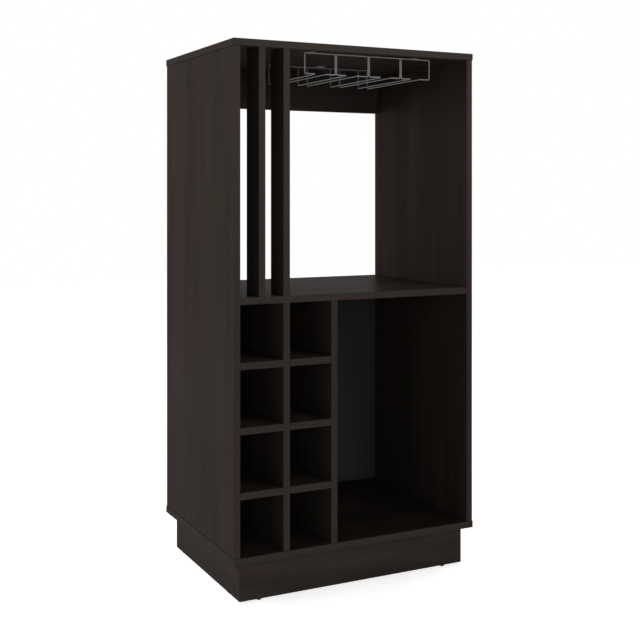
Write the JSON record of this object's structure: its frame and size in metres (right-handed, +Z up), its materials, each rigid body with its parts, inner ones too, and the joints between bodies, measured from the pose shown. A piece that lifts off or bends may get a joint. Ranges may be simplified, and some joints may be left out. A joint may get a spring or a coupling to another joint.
{
  "type": "bar cabinet",
  "caption": "Tall open bar cabinet on a plinth: bottle cubbies beside an open bay below, upright slats and a hanging wire stemware rack in the open-backed compartment above.",
  "frame": {"origin": "on the floor, under the middle of the top panel's outline, which is the bottom centre of the box", "axes": "+Z up, +X to the right seen from the open front, +Y to the back; the open front faces -Y"},
  "size_m": [0.592, 0.43, 1.174],
  "materials": {
    "dark_board": "dark espresso wood-grain melamine on particle board, low sheen",
    "hardboard": "thin dark painted hardboard",
    "rack_wire": "silver-grey coated steel wire, tabs and screws",
    "fastener_steel": "zinc-plated steel",
    "dowel_wood": "plain beech",
    "cap_plastic": "dark brown moulded plastic",
    "glide_plastic": "dark grey-brown moulded plastic"
  },
  "bodies": {
    "root": {"top_panel": "dark_board", "bottom_panel": "dark_board", "left_side_panel": "dark_board", "right_side_panel": "dark_board", "middle_shelf": "dark_board", "upper_back_rail": "dark_board", "bottle_divider": "dark_board", "bay_divider": "dark_board", "bottle_shelf_lower": "dark_board", "bottle_shelf_middle": "dark_board", "bottle_shelf_upper": "dark_board", "left_slat": "dark_board", "right_slat": "dark_board", "plinth_front": "dark_board", "plinth_back": "dark_board", "plinth_left": "dark_board", "plinth_right": "dark_board", "lower_back_panel": "hardboard", "rack_frame_wire": "rack_wire", "rack_mounting_tabs": "rack_wire", "rack_stem_wire_1": "rack_wire", "rack_stem_wire_2": "rack_wire", "rack_stem_wire_3": "rack_wire", "rack_stem_wire_4": "rack_wire", "rack_stem_wire_5": "rack_wire", "rack_stem_wire_6": "rack_wire", "rack_screws": "rack_wire", "top_screws": "fastener_steel", "bottom_screws": "fastener_steel", "shelf_cam_bolts": "fastener_steel", "shelf_cams": "fastener_steel", "rail_cam_bolts": "fastener_steel", "rail_cams": "fastener_steel", "plinth_brackets": "fastener_steel", "plinth_bracket_screws": "fastener_steel", "back_panel_nails": "fastener_steel", "glide_nails": "fastener_steel", "shelf_dowels": "dowel_wood", "rail_dowels": "dowel_wood", "divider_dowels": "dowel_wood", "bottle_shelf_dowels": "dowel_wood", "slat_dowels": "dowel_wood", "plinth_dowels": "dowel_wood", "top_screw_caps": "cap_plastic", "glides": "glide_plastic"}
  },
  "joints": []
}
